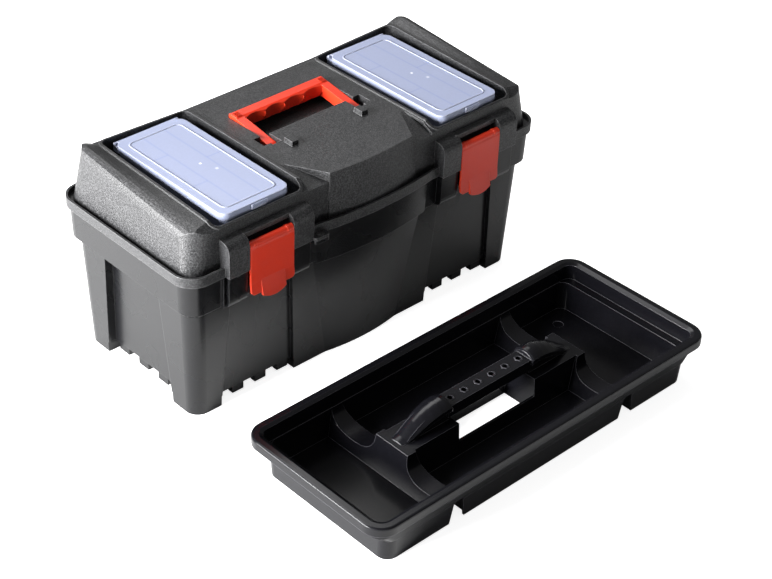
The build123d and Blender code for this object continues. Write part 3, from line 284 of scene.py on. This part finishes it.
# Knurled patches: five fine ridges on top of each of the handle's two corners, moulded
# with it, so that they turn with the handle.
KNURL_X, KNURL_Y, KNURL_Z = 0.0657, 0.0440, 0.2645
RIDGE_SIZE, RIDGE_PITCH, RIDGE_COUNT = (0.0078, 0.0009, 0.0008), 0.0020, 5
for side, hand in ((-1, "left"), (1, "right")):
    bpy.ops.object.select_all(action="DESELECT")
    bpy.ops.mesh.primitive_cube_add(size=1)
    knurl = bpy.context.object
    knurl.name = f"handle_knurl_{hand}"
    bpy.ops.object.mode_set(mode="EDIT")
    bpy.ops.mesh.select_all(action="SELECT")
    bpy.ops.transform.resize(value=RIDGE_SIZE)
    bpy.ops.transform.translate(value=(side * KNURL_X, KNURL_Y, KNURL_Z))
    for ridge in range(RIDGE_COUNT - 1):
        bpy.ops.mesh.duplicate()
        bpy.ops.transform.translate(value=(0, RIDGE_PITCH, 0))
    bpy.ops.object.mode_set(mode="OBJECT")
    rounding = knurl.modifiers.new("rounding", "BEVEL")
    rounding.width = 0.00025
    rounding.segments = 2
    bpy.ops.object.modifier_apply(modifier="rounding")
    knurl.data.materials.append(red_plastic)
    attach(knurl, "handle")

# Organisers: clear polypropylene boxes with hinged lids, thin enough to look milky and
# tinted lilac, whiter along their folded edges, which is painted highlight together with wear.
# Where the organisers' inner walls stand, from each organiser's middle, and how wide each
# line and each outer column of compartments is: half its width, then its soft edge.
DIVIDER_X, COLUMN_X, CROSS_BACK_Y, CROSS_FRONT_Y = 0.0154, 0.029, 0.032, -0.040
LINE, COLUMN = (0.0004, 0.0016), (0.0130, 0.0008)


def divider_group():
    """Masks for what shows through an organiser's lid: its dividers, and the gate mark on top."""
    group, start, end = start_group(
        "Seen through the lid", [("Centre", "NodeSocketFloat", 0.1645)],
        [("Dividers", "NodeSocketFloat"), ("Gate", "NodeSocketFloat")])
    link = group.links.new

    def sum_of(kind, first, second):
        node = put(group, "Math", operation=kind)
        for socket, value in zip(node.inputs, (first, second)):
            if isinstance(value, (int, float)):
                socket.default_value = value
            else:
                link(value, socket)
        return node.outputs["Value"]

    def near(value, centre, half, soft):
        away = put(group, "Math", operation="ABSOLUTE")
        link(sum_of("SUBTRACT", value, centre), away.inputs[0])
        mask = put(group, "MapRange", clamp=True, interpolation_type="SMOOTHSTEP")
        mask.inputs["From Min"].default_value = half + soft
        mask.inputs["From Max"].default_value = half
        link(away.outputs["Value"], mask.inputs["Value"])
        return mask.outputs["Result"]

    place = put(group, "TexCoord")
    split = put(group, "SeparateXYZ")
    link(place.outputs["Object"], split.inputs["Vector"])
    y = split.outputs["Y"]
    side = put(group, "Math", operation="SIGN")
    link(split.outputs["X"], side.inputs[0])
    middle = sum_of("MULTIPLY", side.outputs["Value"], start.outputs["Centre"])
    x = sum_of("SUBTRACT", split.outputs["X"], middle)
    lengthwise = sum_of("ADD", near(x, -DIVIDER_X, *LINE), near(x, DIVIDER_X, *LINE))
    across_left = sum_of("MULTIPLY", near(x, -COLUMN_X, *COLUMN),
                         sum_of("ADD", near(y, CROSS_BACK_Y, *LINE), near(y, CROSS_FRONT_Y, *LINE)))
    across_right = sum_of("MULTIPLY", near(x, COLUMN_X, *COLUMN), near(y, 0.0, *LINE))
    ribs = sum_of("ADD", lengthwise, sum_of("ADD", across_left, across_right))
    inside = sum_of("MULTIPLY", near(y, -0.008, 0.086, 0.004), near(x, 0.0, 0.0400, 0.002))
    link(sum_of("MULTIPLY", ribs, inside), end.inputs["Dividers"])
    dot = sum_of("MULTIPLY", near(x, 0.001, 0.0008, 0.0012), near(y, -0.006, 0.0008, 0.0012))
    stamp = sum_of("MULTIPLY", near(x, 0.009, 0.0014, 0.0010), near(y, -0.026, 0.0014, 0.0010))
    link(sum_of("ADD", dot, sum_of("MULTIPLY", stamp, 0.4)), end.inputs["Gate"])
    return group


clear_plastic = moulding("clear plastic", (0.34, 0.375, 0.51), (0.86, 0.87, 0.96), (0.40, 0.45, 0.67),
                         roughness=0.24, gloss=0.5, grain=260.0, bump=0.03, reach=0.0018, highlit_worn_edge_amount=0.9,
                         fleck=0.12, dust=0.0, transmission=0.3, ior=1.3)
clear_tree = clear_plastic.node_tree
clear_shader = clear_tree.nodes["Principled BSDF"]
through = clear_tree.nodes.new("ShaderNodeGroup")
through.node_tree = divider_group()
clear_colour = clear_shader.inputs["Base Color"].links[0].from_socket
for title, share, tint in (("Dividers", 0.30, (0.22, 0.27, 0.50, 1)), ("Gate", 0.9, (0.95, 0.96, 1.0, 1))):
    weight = put(clear_tree, "Math", operation="MULTIPLY")
    weight.inputs[1].default_value = share
    clear_tree.links.new(through.outputs[title], weight.inputs[0])
    blend = put(clear_tree, "Mix", data_type="RGBA")
    blend.inputs["B"].default_value = tint
    clear_tree.links.new(weight.outputs["Value"], blend.inputs["Factor"])
    clear_tree.links.new(clear_colour, blend.inputs["A"])
    clear_colour = blend.outputs["Result"]
clear_tree.links.new(clear_colour, clear_shader.inputs["Base Color"])
for name in nodes:
    if name.startswith("organiser"):
        finish_node(name, clear_plastic)

# Tote tray: glossy black plastic, lifted by a grip bar with sockets for screwdriver bits.
# Its paler edge colour is painted highlight together with wear.
tray_plastic = moulding("tray plastic", (0.0030, 0.0030, 0.0040), (0.20, 0.195, 0.22),
                        (0.006, 0.006, 0.008), roughness=0.2, gloss=0.26, grain=220.0, bump=0.04,
                        reach=0.0012, highlit_worn_edge_amount=0.45, fleck=0.3, dust=0.0)
finish_node("tote_tray", tray_plastic)

# Studio: a plain pale floor that glows a little for the camera only, a broad soft light
# from the left, a weaker one above and behind, and a white surround.
FLOOR_SIZE, FLOOR_GLOW, SURROUND_STRENGTH = 30, 0.84, 0.24
bpy.ops.mesh.primitive_plane_add(size=FLOOR_SIZE)
floor = bpy.context.object
floor.name = "floor"
floor_paint = bpy.data.materials.new("pale floor")
floor_paint.use_nodes = True
floor_tree = floor_paint.node_tree
floor_shader = floor_tree.nodes["Principled BSDF"]
floor_shader.inputs["Base Color"].default_value = (0.93, 0.93, 0.93, 1)
floor_shader.inputs["Roughness"].default_value = 0.9
floor_shader.inputs["Specular IOR Level"].default_value = 0.1
floor_shader.inputs["Emission Color"].default_value = (1, 1, 1, 1)
floor_rays = put(floor_tree, "LightPath")
floor_glow = put(floor_tree, "Math", operation="MULTIPLY")
floor_glow.inputs[1].default_value = FLOOR_GLOW
floor_tree.links.new(floor_rays.outputs["Is Camera Ray"], floor_glow.inputs[0])
floor_tree.links.new(floor_glow.outputs["Value"], floor_shader.inputs["Emission Strength"])
floor.data.materials.append(floor_paint)


def softbox(name, place, target, size, power):
    """A rectangular soft light aimed at a point."""
    bpy.ops.object.light_add(type="AREA", location=place)
    light = bpy.context.object
    light.name = name
    light.data.shape = "RECTANGLE"
    light.data.size, light.data.size_y = size
    light.data.energy = power
    aim = Vector(target) - Vector(place)
    light.rotation_euler = aim.to_track_quat("-Z", "Y").to_euler()


softbox("left_light", (-2.4, 0.55, 0.8), (0, 0, 0.12), (1.5, 1.5), 460)
softbox("top_light", (0.3, 1.3, 2.2), (0, 0, 0.2), (2.0, 1.2), 36)
world = bpy.data.worlds.new("surround")
world.use_nodes = True
world.node_tree.nodes["Background"].inputs["Color"].default_value = (1, 1, 1, 1)
world.node_tree.nodes["Background"].inputs["Strength"].default_value = SURROUND_STRENGTH
bpy.context.scene.world = world
bpy.context.scene.view_settings.view_transform = "Standard"
